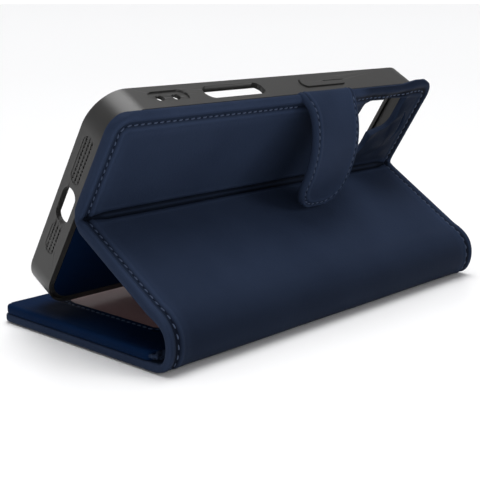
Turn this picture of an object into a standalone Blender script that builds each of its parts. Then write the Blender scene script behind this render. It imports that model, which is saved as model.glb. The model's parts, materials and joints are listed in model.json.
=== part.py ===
"""Phone wallet case, folded into its landscape stand pose.

The card flap lies flat. The spine turns up from it in two bands, the lower back
panel climbs to the crease, and the upper back panel carries the phone shell.
+X runs along the case, -Y is the spine side, +Z is up, and the flap rests on z = 0.
"""
import math

import bmesh
import bpy
from mathutils import Matrix, Vector

MM = 0.001

# Covers
COVER_HALF = 80.5 * MM          # half length of every leather panel along X
PANEL = 2.8 * MM                # thickness of a lined panel
SKIN = 0.9 * MM                 # outer leather
BOARD = 0.65 * MM
LINING = 0.75 * MM
GAP = 0.25 * MM                 # between stacked sheets
INSET = 2.4 * MM                # boards stop this far inside the leather edge
HINGE_GAP = 1.0 * MM            # from a fold's axis to the panels beside it

# Side profile of the stand, as (y, z)
FOOT = Vector((-36.2, 1.4)) * MM
BULGE = Vector((-39.6, 8.4)) * MM
CREASE = Vector((-0.9, 39.9)) * MM
LOWER_RISE = math.radians(33.0)
LOWER_LENGTH = 43.0 * MM
TRAY_LEAN = math.radians(58.9)

# Phone shell
SHELL_HALF = 78.5 * MM
SHELL_BOTTOM = -1.3 * MM        # along the shell's width, from the fold's datum
SHELL_TOP = 75.5 * MM
SHELL_DEPTH = 10.6 * MM
SHELL_RADIUS = 12.0 * MM
SHELL_WALL = 1.9 * MM
SHELL_BACK = 1.5 * MM
LIP_DEPTH = 1.3 * MM
LIP_OVERHANG = 1.2 * MM
PANEL_LIFT = 0.2 * MM           # between the shell's back and the upper panel
CREASE_HEIGHT = 38.1 * MM       # of the crease up the shell's width
LEATHER_TOP = 76.2 * MM
SIDE_CENTRE = -5.3 * MM         # depth of the ports and buttons in the side walls

# Upper panel corners and camera area
PANEL_RADIUS = 7.0 * MM
CAMERA_CUT = (37.5 * MM, 75.0 * MM, 42.0 * MM, 72.4 * MM)

# Card flap
FLAP_TOP_INSET = 0.9 * MM
CASH_GAP = 0.3 * MM
SHEET = 0.5 * MM
BINDING = 3.0 * MM             # width of the folded strip along the module's -X edge
FLAP_CORNER = 3.0 * MM
WINDOW = (-63.5 * MM, 14.5 * MM, -18.0 * MM, 32.5 * MM)
FRAME_END = 33.5 * MM
FRONT_SLOT_END = 45.5 * MM
REAR_SLOT_END = 57.5 * MM

# Strap
STRAP_X = 15.2 * MM
STRAP_HALF = 12.3 * MM
STRAP_SKIN = 0.8 * MM
STRAP_LAYER = 0.95 * MM         # from one strap layer's middle to the next
STRAP_CORE = 0.5 * MM
STRAP_TIP_RADIUS = 10.5 * MM
NOTCH_DEPTH = 2.1 * MM          # of the leather below the strap's fold
STRAP_ROUTE = [(75.6, 1.6), (74.3, 5.3), (71.0, 9.3), (66.6, 12.6), (61.0, 15.3),
               (53.4, 17.1), (45.6, 17.7), (38.7, 17.6)]
STRAP_LENGTH = MM * sum((Vector(end) - Vector(start)).length
                        for start, end in zip(STRAP_ROUTE, STRAP_ROUTE[1:]))

# Speaker grilles in the -X end wall
SPEAKER_PITCH = 1.4 * MM
SPEAKER_HOLE = 0.8 * MM

# Buttons in the long walls, as (name, centre x, length, on the top wall)
BUTTONS = [("power_button_pad", 20.2, 23.0, True), ("action_button_pad", 46.0, 9.0, False),
           ("volume_up_pad", 28.5, 12.5, False), ("volume_down_pad", 12.0, 12.5, False)]
BUTTON_WIDTH = 4.4 * MM
BUTTON_PROUD = 0.55 * MM
BUTTON_CLEARANCE = 0.3 * MM


def direction(angle):
    return Vector((math.cos(angle), math.sin(angle)))


SHELL_ANGLE = math.pi - TRAY_LEAN
SHELL_NORMAL = direction(SHELL_ANGLE + math.pi / 2)
LOWER_NORMAL = direction(LOWER_RISE + math.pi / 2)
OUTER = PANEL + PANEL_LIFT
SHELL_ORIGIN = CREASE - OUTER * SHELL_NORMAL - CREASE_HEIGHT * direction(SHELL_ANGLE)
SHOULDER = CREASE - PANEL / 2 * LOWER_NORMAL - LOWER_LENGTH * direction(LOWER_RISE)
LOWER_BAND_ANGLE = math.atan2((BULGE - FOOT).y, (BULGE - FOOT).x)
UPPER_BAND_ANGLE = math.atan2((SHOULDER - BULGE).y, (SHOULDER - BULGE).x)
BAND_CORNER = (BULGE - HINGE_GAP * direction(LOWER_BAND_ANGLE)
               + PANEL / 2 * direction(LOWER_BAND_ANGLE + math.pi / 2))
FREE_EDGE = -BAND_CORNER.x

for old in list(bpy.data.objects):
    bpy.data.objects.remove(old)

parts = bpy.data.collections.new("phone_wallet_case")
cutters = bpy.data.collections.new("cutters")
bpy.context.scene.collection.children.link(parts)
bpy.context.scene.collection.children.link(cutters)


def material(name, colour, roughness, metallic=0.0):
    made = bpy.data.materials.new(name)
    made.use_nodes = True
    shader = made.node_tree.nodes["Principled BSDF"]
    shader.inputs["Base Color"].default_value = (*colour, 1)
    shader.inputs["Roughness"].default_value = roughness
    shader.inputs["Metallic"].default_value = metallic
    return made


NAVY = (0.012, 0.019, 0.042)
LEATHER = material("navy_leather", NAVY, 0.45)
INNER = material("navy_lining", (0.008, 0.014, 0.036), 0.55)
CARD = material("grey_board", (0.22, 0.21, 0.19), 0.9)
TPU = material("dark_tpu", (0.06, 0.058, 0.055), 0.5)
FILM = material("window_film", (0.5, 0.45, 0.42), 0.1)
TAUPE = material("taupe_backing", (0.07, 0.045, 0.04), 0.6)
STEEL = material("plated_steel", (0.5, 0.5, 0.52), 0.35, 1.0)
GLUE = material("glue_pad", (0.03, 0.03, 0.03), 0.8)


def frame(name, origin, angle):
    """Empty whose local Y runs along the panel and whose local Z is its outer normal."""
    empty = bpy.data.objects.new(name, None)
    empty.location = (0, origin.x, origin.y)
    empty.rotation_euler = (angle, 0, 0)
    parts.objects.link(empty)
    return empty


FLAP = frame("flap_frame", Vector((0, 0)), 0)
LOWER_BAND = frame("lower_band_frame", FOOT, LOWER_BAND_ANGLE)
UPPER_BAND = frame("upper_band_frame", BULGE, UPPER_BAND_ANGLE)
LOWER = frame("lower_panel_frame", SHOULDER, LOWER_RISE)
SHELL = frame("shell_frame", SHELL_ORIGIN, SHELL_ANGLE)
STRAP_ROOT = Vector(STRAP_ROUTE[0]) * MM
STRAP = frame("strap_frame", SHELL_ORIGIN + STRAP_ROOT.x * direction(SHELL_ANGLE)
              + STRAP_ROOT.y * SHELL_NORMAL, SHELL_ANGLE)


def place(name, mesh, parent, finish=None, location=(0, 0, 0)):
    made = bpy.data.objects.new(name, mesh)
    made.parent = parent
    made.location = location
    (parts if finish else cutters).objects.link(made)
    if finish:
        mesh.materials.clear()
        mesh.materials.append(finish)
    else:
        made.hide_render = True
        made.display_type = "WIRE"
    return made


def filleted(corners, steps=7):
    """Closed outline through (x, y, radius) corners, each rounded by an arc."""
    points = []
    count = len(corners)
    for index, (x, y, radius) in enumerate(corners):
        here = Vector((x, y))
        before = (Vector(corners[index - 1][:2]) - here).normalized()
        after = (Vector(corners[(index + 1) % count][:2]) - here).normalized()
        if radius <= 0:
            points.append(here)
            continue
        half = before.angle(after) / 2
        centre = here + (before + after).normalized() * radius / math.sin(half)
        first = here + before * radius / math.tan(half) - centre
        last = here + after * radius / math.tan(half) - centre
        turn = first.angle_signed(last)
        for step in range(steps + 1):
            spin = Matrix.Rotation(-turn * step / steps, 2)
            points.append(centre + spin @ first)
    return points


def box_outline(x0, x1, y0, y1, low=0, high=None, steps=7):
    high = low if high is None else high
    corners = [(x0, y0, low), (x1, y0, low), (x1, y1, high), (x0, y1, high)]
    return filleted(corners, steps)


def sheet_mesh(name, outlines, z0, z1):
    """Flat plate between two heights; outlines after the first are holes."""
    curve = bpy.data.curves.new(name, "CURVE")
    curve.dimensions = "2D"
    curve.fill_mode = "BOTH"
    curve.extrude = (z1 - z0) / 2
    for outline in outlines:
        spline = curve.splines.new("POLY")
        spline.points.add(len(outline) - 1)
        for point, corner in zip(spline.points, outline):
            point.co = (corner[0], corner[1], 0, 1)
        spline.use_cyclic_u = True
    holder = bpy.data.objects.new(name + "_curve", curve)
    cutters.objects.link(holder)
    bpy.context.view_layer.update()
    evaluated = holder.evaluated_get(bpy.context.evaluated_depsgraph_get())
    mesh = bpy.data.meshes.new_from_object(evaluated)
    bpy.data.objects.remove(holder)
    bpy.data.curves.remove(curve)
    work = bmesh.new()
    work.from_mesh(mesh)
    bmesh.ops.remove_doubles(work, verts=work.verts, dist=1e-6)
    bmesh.ops.translate(work, verts=work.verts, vec=(0, 0, (z0 + z1) / 2))
    bmesh.ops.recalc_face_normals(work, faces=work.faces)
    work.to_mesh(mesh)
    work.free()
    return mesh


def sheet(name, parent, outlines, z0, z1, finish=None, bevel=0.0, segments=2):
    made = place(name, sheet_mesh(name, outlines, z0, z1), parent, finish)
    if bevel:
        add_bevel(made, bevel, segments)
    return made


def add_bevel(made, width, segments=2):
    bevel = made.modifiers.new("edge", "BEVEL")
    bevel.width = width
    bevel.segments = segments
    bevel.limit_method = "ANGLE"
    bevel.angle_limit = math.radians(50)
    bevel.harden_normals = False


def cut(target, cutter):
    boolean = target.modifiers.new("cut_" + cutter.name, "BOOLEAN")
    boolean.operation = "DIFFERENCE"
    boolean.object = cutter


def stack(z_outer, thicknesses):
    """Heights of stacked sheets, from the outer face inwards, with a gap between."""
    layers = []
    top = z_outer
    for thickness in thicknesses:
        layers.append((top - thickness, top))
        top -= thickness + GAP
    return layers


def window_outline(inset):
    """ID window, with its far -X corner cut round so a card can be thumbed out."""
    x0, x1, y0, y1 = WINDOW
    x0, x1, y0, y1 = x0 + inset, x1 - inset, y0 + inset, y1 - inset
    small, large = 3.0 * MM - inset, 10.0 * MM - inset
    return filleted([(x0, y0, small), (x1, y0, small), (x1, y1, small), (x0, y1, large)])


def make_flap():
    half = COVER_HALF
    near = FOOT.x + HINGE_GAP
    far = FREE_EDGE
    skin_top = SKIN
    board_base = skin_top + GAP
    lining_base = board_base + BOARD + GAP
    pocket_base = lining_base + LINING + CASH_GAP
    outline = box_outline(-half, half, near, far, 1.0 * MM, FLAP_CORNER)
    sheet("flap_outer_leather", FLAP, [outline], 0, skin_top, LEATHER, 0.25 * MM)
    keeper = (6.0 * MM, 26.0 * MM, 4.0 * MM, 24.0 * MM)
    board = box_outline(-half + INSET, half - INSET, near + INSET, far - INSET, MM, 4 * MM)
    pocket = box_outline(keeper[0] - 0.3 * MM, keeper[1] + 0.3 * MM,
                         keeper[2] - 0.3 * MM, keeper[3] + 0.3 * MM)
    sheet("flap_board", FLAP, [board, pocket], board_base, board_base + BOARD, CARD)
    sheet("flap_keeper_plate", FLAP, [box_outline(*keeper)], board_base,
          board_base + BOARD, STEEL)
    lining = box_outline(-half + 0.4 * MM, half - 0.4 * MM, near + 0.4 * MM, far - 0.4 * MM,
                         1.0 * MM, FLAP_CORNER)
    sheet("flap_lining", FLAP, [lining], lining_base, lining_base + LINING, INNER, 0.2 * MM)

    near += 2.6 * MM
    far -= FLAP_TOP_INSET
    left = -half + 0.6 * MM
    inner = left + BINDING + GAP
    levels = []
    base = pocket_base
    for _ in range(4):
        levels.append((base, base + SHEET))
        base += SHEET + GAP
    ends = [half - 0.6 * MM, REAR_SLOT_END, FRONT_SLOT_END, FRAME_END]
    names = ["cash_pocket_panel", "card_slot_rear", "card_slot_front", "id_window_frame"]
    for name, end, (z0, z1) in zip(names, ends, levels):
        outline = filleted([(inner, near, MM), (end, near, MM),
                            (end, far, FLAP_CORNER if name == names[0] else MM),
                            (inner, far, MM)])
        outlines = [outline, window_outline(0)] if name == names[3] else [outline]
        sheet(name, FLAP, outlines, z0, z1, LEATHER if name == names[3] else INNER, 0.18 * MM)
    edge = filleted([(left, near, MM), (left + BINDING, near, 0.5 * MM),
                     (left + BINDING, far, 0.5 * MM), (left, far, FLAP_CORNER * 0.9)])
    sheet("flap_module_binding", FLAP, [edge], pocket_base, levels[3][1], LEATHER, 0.6 * MM, 3)
    z0 = levels[3][0]
    insert = window_outline(0.3 * MM)
    sheet("id_card_backing", FLAP, [insert], z0, z0 + 0.15 * MM, TAUPE)
    sheet("id_window_film", FLAP, [insert], z0 + 0.3 * MM, z0 + 0.46 * MM, FILM)


def make_bands():
    for name, parent, length in (("spine_lower_band", LOWER_BAND, (BULGE - FOOT).length),
                                 ("spine_upper_band", UPPER_BAND, (SHOULDER - BULGE).length)):
        outline = box_outline(-COVER_HALF, COVER_HALF, HINGE_GAP, length - HINGE_GAP)
        sheet(name, parent, [outline], -PANEL / 2, PANEL / 2, LEATHER, 0.5 * MM)


def make_lower_panel():
    y0, y1 = HINGE_GAP, LOWER_LENGTH - HINGE_GAP
    skin, board, lining = stack(PANEL / 2, (SKIN, BOARD, LINING))
    half = COVER_HALF
    sheet("lower_outer_leather", LOWER, [box_outline(-half, half, y0, y1)], *skin,
          LEATHER, 0.25 * MM)
    sheet("lower_board", LOWER,
          [box_outline(-half + INSET, half - INSET, y0 + INSET, y1 - INSET)], *board, CARD)
    sheet("lower_lining", LOWER, [box_outline(-half + 0.4 * MM, half - 0.4 * MM, y0, y1)],
          *lining, INNER, 0.2 * MM)


def camera_window():
    """Opening in the leather around the lenses, narrower towards the crease."""
    corners = [(39.5, 71.2, 5.0), (39.5, 43.6, 4.0), (51.0, 43.6, 3.5), (55.4, 48.4, 2.5),
               (55.4, 54.2, 0.8), (66.6, 57.0, 5.0), (66.6, 71.2, 1.2)]
    return filleted([(x * MM, y * MM, radius * MM) for x, y, radius in corners])


def crescent_slit():
    """Slim curved slit beside the camera window, pointed at both ends."""
    low, high = 50.6 * MM, 64.0 * MM
    middle, half = (low + high) / 2, (high - low) / 2
    steps = 10
    rise = [(low + (high - low) * step / steps) for step in range(steps + 1)]

    def bow(y, base, depth):
        return base + depth * (1 - ((y - middle) / half) ** 2)

    right = [(bow(y, 70.3 * MM, 3.1 * MM), y) for y in rise]
    left = [(bow(y, 70.0 * MM, 1.5 * MM), y) for y in reversed(rise)]
    return right + left


def upper_outline(inset, bottom, notch):
    """Upper panel with round top corners and a notch where the strap folds over."""
    half = COVER_HALF - inset
    top = LEATHER_TOP - inset
    radius = PANEL_RADIUS - inset
    x0 = STRAP_X - STRAP_HALF - 0.5 * MM - inset
    x1 = STRAP_X + STRAP_HALF + 0.5 * MM + inset
    return filleted([(-half, bottom, 0), (half, bottom, 0), (half, top, radius),
                     (x1, top, 0.3 * MM), (x1, notch, 0), (x0, notch, 0),
                     (x0, top, 0.3 * MM), (-half, top, radius)])


def make_upper_panel():
    bottom = CREASE_HEIGHT + HINGE_GAP
    notch = STRAP_ROOT.x - NOTCH_DEPTH
    skin, board, pad = stack(OUTER, (SKIN, BOARD, LINING))
    wide = box_outline(*CAMERA_CUT, 8.0 * MM)
    sheet("upper_outer_leather", SHELL,
          [upper_outline(0, bottom, notch), camera_window(), crescent_slit()], *skin,
          LEATHER, 0.2 * MM, 1)
    tail = box_outline(STRAP_X - 10.5 * MM, STRAP_X + 10.5 * MM, 56.0 * MM,
                       notch - INSET - 0.9 * MM)
    room = box_outline(STRAP_X - 10.8 * MM, STRAP_X + 10.8 * MM, 55.7 * MM,
                       notch - INSET - 0.6 * MM)
    sheet("upper_board", SHELL,
          [upper_outline(INSET, bottom + INSET, notch - INSET), wide, room], *board, CARD)
    sheet("strap_tail", SHELL, [tail], board[0] + 0.05 * MM, board[1] - 0.05 * MM, LEATHER)
    sheet("upper_glue_pad", SHELL,
          [upper_outline(INSET, bottom + INSET, notch - INSET), wide], *pad, GLUE)


def wall_cutter(name, x, length, width, top_wall):
    """Obround cutter through a long wall, centred at a depth in that wall."""
    outline = box_outline(x - length / 2, x + length / 2, -width / 2, width / 2,
                          width / 2 * 0.999, steps=6)
    mesh = sheet_mesh(name, [outline], -4 * MM, 4 * MM)
    turn = Matrix.Rotation(math.pi / 2, 4, "X")
    mesh.transform(turn)
    y = SHELL_TOP if top_wall else SHELL_BOTTOM
    return place(name, mesh, SHELL, None, (0, y, SIDE_CENTRE))


def end_cutter(name, outline):
    """Cutter through the -X end wall; the outline is (along the width, depth)."""
    mesh = sheet_mesh(name, [outline], -4 * MM, 4 * MM)
    mesh.transform(Matrix(((0, 0, 1, 0), (1, 0, 0, 0), (0, 1, 0, 0), (0, 0, 0, 1))))
    return place(name, mesh, SHELL, None, (-SHELL_HALF, 0, 0))


def speaker_cutter(name, centre, rows):
    """Three columns of small round holes through the -X end wall."""
    work = bmesh.new()
    turn = Matrix.Rotation(math.pi / 2, 4, "Y")
    for column in (-1, 0, 1):
        for row in range(rows):
            y = centre + (row - (rows - 1) / 2) * SPEAKER_PITCH
            z = SIDE_CENTRE + column * SPEAKER_PITCH
            bmesh.ops.create_cone(work, cap_ends=True, segments=6, radius1=SPEAKER_HOLE / 2,
                                  radius2=SPEAKER_HOLE / 2, depth=8 * MM,
                                  matrix=Matrix.Translation((0, y, z)) @ turn)
    mesh = bpy.data.meshes.new(name)
    work.to_mesh(mesh)
    work.free()
    return place(name, mesh, SHELL, None, (-SHELL_HALF, 0, 0))


def make_shell():
    outer = box_outline(-SHELL_HALF, SHELL_HALF, SHELL_BOTTOM, SHELL_TOP, SHELL_RADIUS)
    shell = sheet("phone_shell", SHELL, [outer], -SHELL_DEPTH, 0, TPU, 1.8 * MM, 3)
    wall = SHELL_WALL
    cavity = sheet("shell_cavity", SHELL,
                   [box_outline(-SHELL_HALF + wall, SHELL_HALF - wall, SHELL_BOTTOM + wall,
                                SHELL_TOP - wall, SHELL_RADIUS - wall)],
                   -SHELL_DEPTH + LIP_DEPTH, -SHELL_BACK)
    edge = wall + LIP_OVERHANG
    mouth = sheet("shell_mouth", SHELL,
                  [box_outline(-SHELL_HALF + edge, SHELL_HALF - edge, SHELL_BOTTOM + edge,
                               SHELL_TOP - edge, SHELL_RADIUS - edge)],
                  -SHELL_DEPTH - 2 * MM, -SHELL_DEPTH + LIP_DEPTH + 0.2 * MM)
    camera = sheet("camera_cutter", SHELL, [box_outline(*CAMERA_CUT, 8 * MM)],
                   -SHELL_BACK - MM, MM)
    skin_bed = sheet("skin_bed", SHELL,
                     [box_outline(-SHELL_HALF + 2.2 * MM, SHELL_HALF - 2.2 * MM,
                                  SHELL_BOTTOM + 2.2 * MM, CREASE_HEIGHT - 0.5 * MM, 9 * MM,
                                  0.5 * MM)], -0.75 * MM, MM)
    middle = (SHELL_TOP + SHELL_BOTTOM) / 2
    port = end_cutter("port_cutter", box_outline(middle - 6.4 * MM, middle + 6.4 * MM,
                                                 SIDE_CENTRE - 3.2 * MM,
                                                 SIDE_CENTRE + 3.2 * MM, 3.19 * MM))
    upper_holes = speaker_cutter("upper_speaker_cutter", 54.1 * MM, 11)
    lower_holes = speaker_cutter("lower_speaker_cutter", 23.8 * MM, 7)
    control = wall_cutter("camera_control_cutter", -24.4 * MM, 27.4 * MM, 6.4 * MM, True)
    for cutter in (cavity, mouth, camera, skin_bed, port, upper_holes, lower_holes, control):
        cut(shell, cutter)
    recess = wall_cutter("lanyard_recess", -53.2 * MM, 16.0 * MM, 5.4 * MM, True)
    recess.location.y += 3.4 * MM
    cut(shell, recess)
    for side, x in (("left", -56.5), ("right", -49.9)):
        hole = wall_cutter("lanyard_hole_" + side, x * MM, 3.2 * MM, 2.8 * MM, True)
        cut(shell, hole)
    for name, x, length, top_wall in BUTTONS:
        clear = 2 * BUTTON_CLEARANCE
        cut(shell, wall_cutter(name + "_hole", x * MM, length * MM + clear,
                               BUTTON_WIDTH + clear, top_wall))
    skin = box_outline(-SHELL_HALF + 2.5 * MM, SHELL_HALF - 2.5 * MM,
                       SHELL_BOTTOM + 2.5 * MM, CREASE_HEIGHT - 0.8 * MM, 8.7 * MM, 0.4 * MM)
    sheet("shell_back_skin", SHELL, [skin], -0.5 * MM, -0.05 * MM, INNER)


def make_buttons():
    for name, x, length, top_wall in BUTTONS:
        outline = box_outline(-length * MM / 2, length * MM / 2, -BUTTON_WIDTH / 2,
                              BUTTON_WIDTH / 2, BUTTON_WIDTH / 2 * 0.999, steps=6)
        mesh = sheet_mesh(name, [outline], -SHELL_WALL + 0.5 * MM, BUTTON_PROUD)
        turn = -math.pi / 2 if top_wall else math.pi / 2
        mesh.transform(Matrix.Rotation(turn, 4, "X"))
        y = SHELL_TOP if top_wall else SHELL_BOTTOM
        pad = place(name, mesh, SHELL, TPU, (x * MM, y, SIDE_CENTRE))
        add_bevel(pad, 0.35 * MM, 2)


def strap_point(length_share):
    """Point and outer normal on the strap's middle line, from the fold to the tip."""
    place_in_route = length_share * (len(STRAP_ROUTE) - 1)
    index = min(int(place_in_route), len(STRAP_ROUTE) - 2)
    t = place_in_route - index
    last = len(STRAP_ROUTE) - 1
    knots = [Vector(STRAP_ROUTE[max(0, min(last, index + step))]) for step in (-1, 0, 1, 2)]
    a, b, c, d = knots
    point = 0.5 * (2 * b + (c - a) * t + (2 * a - 5 * b + 4 * c - d) * t * t
                   + (3 * b - a - 3 * c + d) * t * t * t)
    slope = 0.5 * ((c - a) + 2 * (2 * a - 5 * b + 4 * c - d) * t
                   + 3 * (3 * b - a - 3 * c + d) * t * t)
    slope.normalize()
    return (point * MM) - STRAP_ROOT, Vector((-slope.y, slope.x)) * -1


def strap_layer(name, offset, thickness, half, start, end, finish, tip=True):
    """Strip along the strap's route at an offset towards its outer face."""
    along, across = max(3, round(18 * (end - start))), 8
    work = bmesh.new()
    bmesh.ops.create_grid(work, x_segments=across, y_segments=along, size=0.5)
    radius = min(STRAP_TIP_RADIUS, half)
    for vertex in work.verts:
        u, v = vertex.co.x * 2, vertex.co.y + 0.5
        share = start + (end - start) * v
        remaining = (end - share) * STRAP_LENGTH
        width = half
        if tip and remaining < radius:
            drop = radius - math.sqrt(max(0.0, radius ** 2 - (radius - remaining) ** 2))
            width = half - drop * 0.92
        point, normal = strap_point(share)
        point = point + normal * offset
        vertex.co = (STRAP_X + u * width, point.x, point.y)
    bmesh.ops.recalc_face_normals(work, faces=work.faces)
    mesh = bpy.data.meshes.new(name)
    work.to_mesh(mesh)
    work.free()
    made = place(name, mesh, STRAP, finish)
    solid = made.modifiers.new("thickness", "SOLIDIFY")
    solid.thickness = thickness
    solid.offset = 0
    return made


def make_strap():
    strap_layer("strap_outer", STRAP_LAYER, STRAP_SKIN, STRAP_HALF, 0, 1, LEATHER)
    strap_layer("strap_lining", -STRAP_LAYER, STRAP_SKIN, STRAP_HALF - 0.2 * MM, 0, 0.995, INNER)
    inner_half = STRAP_HALF - 2.0 * MM
    strap_layer("strap_core", 0, STRAP_CORE, inner_half, 0.03, 0.62, CARD, False)
    strap_layer("strap_magnet", 0, STRAP_CORE, 7.0 * MM, 0.66, 0.88, STEEL, False)


make_flap()
make_bands()
make_lower_panel()
make_upper_panel()
make_shell()
make_buttons()
make_strap()
for made in parts.objects:
    if made.type == "MESH":
        made.data.set_sharp_from_angle(angle=math.radians(35))
        made.data.shade_smooth()
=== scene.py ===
"""Looks of the phone wallet case: soft leather covers, stitched edges, shell, strap and studio."""
import math
import random

import bmesh
import bpy
import numpy as np
from mathutils import Matrix, Vector
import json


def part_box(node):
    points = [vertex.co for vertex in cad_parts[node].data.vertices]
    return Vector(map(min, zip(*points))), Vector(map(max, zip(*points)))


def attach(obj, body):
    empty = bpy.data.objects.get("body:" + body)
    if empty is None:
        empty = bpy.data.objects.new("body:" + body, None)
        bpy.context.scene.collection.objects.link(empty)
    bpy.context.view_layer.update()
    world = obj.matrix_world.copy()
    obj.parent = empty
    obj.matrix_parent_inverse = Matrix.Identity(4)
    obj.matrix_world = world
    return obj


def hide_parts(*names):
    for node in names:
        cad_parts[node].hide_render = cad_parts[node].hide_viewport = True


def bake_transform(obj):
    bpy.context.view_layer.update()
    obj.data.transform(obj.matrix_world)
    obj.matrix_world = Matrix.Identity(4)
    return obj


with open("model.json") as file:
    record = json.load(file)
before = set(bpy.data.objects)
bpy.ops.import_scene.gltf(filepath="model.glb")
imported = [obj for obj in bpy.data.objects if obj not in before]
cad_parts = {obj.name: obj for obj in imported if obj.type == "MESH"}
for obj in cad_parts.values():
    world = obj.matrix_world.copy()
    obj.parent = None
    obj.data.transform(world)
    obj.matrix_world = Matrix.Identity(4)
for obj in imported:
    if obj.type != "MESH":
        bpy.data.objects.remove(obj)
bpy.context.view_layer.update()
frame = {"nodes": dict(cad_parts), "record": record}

MM = 0.001

# ---- sizes, as in the CAD model
COVER_HALF = 80.5 * MM
PANEL = 2.8 * MM
PANEL_LIFT = 0.2 * MM
OUTER = PANEL + PANEL_LIFT
CREASE_HEIGHT = 38.1 * MM
LEATHER_TOP = 76.2 * MM
PANEL_RADIUS = 7.0 * MM
FLAP_RADIUS = 3.0 * MM
SHELL_HALF = 78.5 * MM
SHELL_BOTTOM = -1.3 * MM
SHELL_TOP = 75.5 * MM
SHELL_DEPTH = 10.6 * MM
SHELL_RADIUS = 12.0 * MM
SHELL_WALL = 1.9 * MM
SHELL_BACK = 1.5 * MM
LIP_DEPTH = 1.3 * MM
LIP_OVERHANG = 1.2 * MM
SIDE_CENTRE = -5.3 * MM
CAMERA_CUT = (37.5 * MM, 75.0 * MM, 42.0 * MM, 72.4 * MM)
STRAP_X = 15.2 * MM
STRAP_HALF = 12.3 * MM
STRAP_THICK = 2.7 * MM
STRAP_ROUTE = [(75.6, 1.6), (74.3, 5.3), (71.0, 9.3), (66.6, 12.6), (61.0, 15.3),
               (53.4, 17.1), (45.6, 17.7), (38.7, 17.6)]
SPEAKER_PITCH = 1.4 * MM
SPEAKER_HOLE = 0.78 * MM
SPEAKERS = ((54.1 * MM, 11), (23.8 * MM, 7))    # middle up the end wall, and rows
STRAP_TIP_RADIUS = 10.5 * MM
STRAP_INSET = 2.0 * MM          # of the strap's stitch line from its edge
STRAP_PITCH = 2.4 * MM
STITCH_INSET = 4.0 * MM         # of the cover's stitch line from its edge
STITCH_PITCH = 2.5 * MM
STITCH_SHAPE = (0.88, 0.30, 0.26)   # half length, half width and half height in mm
STITCH_SLANT = math.radians(9)
THREAD_LIFT = 0.02 * MM         # of the stitches' middles above the leather
END_ROUND = 1.4 * MM            # rounding at the free ends of the cover and strap
FOLD = 3.0 * MM                 # reach of a fold on each side of its axis
CREASE_REACH = 3.2 * MM         # stretch about the crease that gets finer rows
BUTTON_WIDTH = 4.4 * MM
BUTTONS = ("power_button", "action_button", "volume_up", "volume_down")

# ---- places, from the frame
JOINTS = {joint["name"]: joint for joint in frame["record"]["behaviour"]["joints"]}


def joint_point(name):
    """Where a fold's axis crosses the side view, as (y, z)."""
    return Vector(JOINTS[name]["pos_m"][1:])


def direction(angle):
    return Vector((math.cos(angle), math.sin(angle)))


def angle_of(vector):
    return math.atan2(vector.y, vector.x)


FOOT = joint_point("cover_unfold")
BULGE = joint_point("spine_flatten")
SHOULDER = joint_point("shoulder_unfold")
CREASE = joint_point("crease_unfold")
UP = -Vector(JOINTS["power_button_press"]["axis"][1:]).normalized()
SHELL_ANGLE = angle_of(UP)
OUT = direction(SHELL_ANGLE + math.pi / 2)
SHELL_ORIGIN = CREASE - OUTER * OUT - CREASE_HEIGHT * UP
LOWER_SPAN = CREASE - SHOULDER
LOWER_LENGTH = math.sqrt(LOWER_SPAN.length_squared - (PANEL / 2) ** 2)
LOWER_ANGLE = angle_of(LOWER_SPAN) - math.atan2(PANEL / 2, LOWER_LENGTH)
ALONG = direction(LOWER_ANGLE)
LOWER_OUT = direction(LOWER_ANGLE + math.pi / 2)
FREE_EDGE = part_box("flap_outer_leather")[1][1]


def on_shell(width, depth):
    """Point in the side view from (up the shell's width, out of its back)."""
    return SHELL_ORIGIN + UP * width + OUT * depth


SHELL_MATRIX = (Matrix.Translation((0, SHELL_ORIGIN.x, SHELL_ORIGIN.y))
                @ Matrix.Rotation(SHELL_ANGLE, 4, "X"))

# ---- materials


def principled(name, colour, roughness, **sockets):
    """New material; sockets are more inputs of its shader, such as Coat_Weight."""
    made = bpy.data.materials.new(name)
    made.use_nodes = True
    tree = made.node_tree
    shader = tree.nodes["Principled BSDF"]
    shader.inputs["Base Color"].default_value = (*colour, 1)
    shader.inputs["Roughness"].default_value = roughness
    for socket, value in sockets.items():
        shader.inputs[socket.replace("_", " ")].default_value = value
    return made, tree, shader


def add(tree, kind, **settings):
    node = tree.nodes.new(kind)
    for key, value in settings.items():
        if key in node.inputs:
            node.inputs[key].default_value = value
        else:
            setattr(node, key, value)
    return node


def object_coordinates(tree):
    return add(tree, "ShaderNodeTexCoord").outputs["Object"]


def ramp(tree, source, stops):
    node = add(tree, "ShaderNodeValToRGB")
    elements = node.color_ramp.elements
    while len(elements) < len(stops):
        elements.new(0.5)
    for element, (place, colour) in zip(elements, stops):
        element.position = place
        element.color = (*colour, 1) if len(colour) == 3 else colour
    tree.links.new(source, node.inputs["Fac"])
    return node.outputs["Color"]


def noise(tree, coordinates, scale, detail=3.0, roughness=0.5):
    node = add(tree, "ShaderNodeTexNoise", Scale=scale, Detail=detail, Roughness=roughness)
    tree.links.new(coordinates, node.inputs["Vector"])
    return node.outputs["Fac"]


def bump_chain(tree, shader, layers):
    """Bumps stacked coarse to fine; each layer is (height, strength, distance)."""
    previous = None
    for height, strength, distance in layers:
        node = add(tree, "ShaderNodeBump", Strength=strength, Distance=distance)
        tree.links.new(height, node.inputs["Height"])
        if previous:
            tree.links.new(previous, node.inputs["Normal"])
        previous = node.outputs["Normal"]
    tree.links.new(previous, shader.inputs["Normal"])


def vary_roughness(tree, shader, source, low, high):
    reach = add(tree, "ShaderNodeMapRange")
    reach.inputs["To Min"].default_value = low
    reach.inputs["To Max"].default_value = high
    tree.links.new(source, reach.inputs["Value"])
    tree.links.new(reach.outputs["Result"], shader.inputs["Roughness"])


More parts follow.
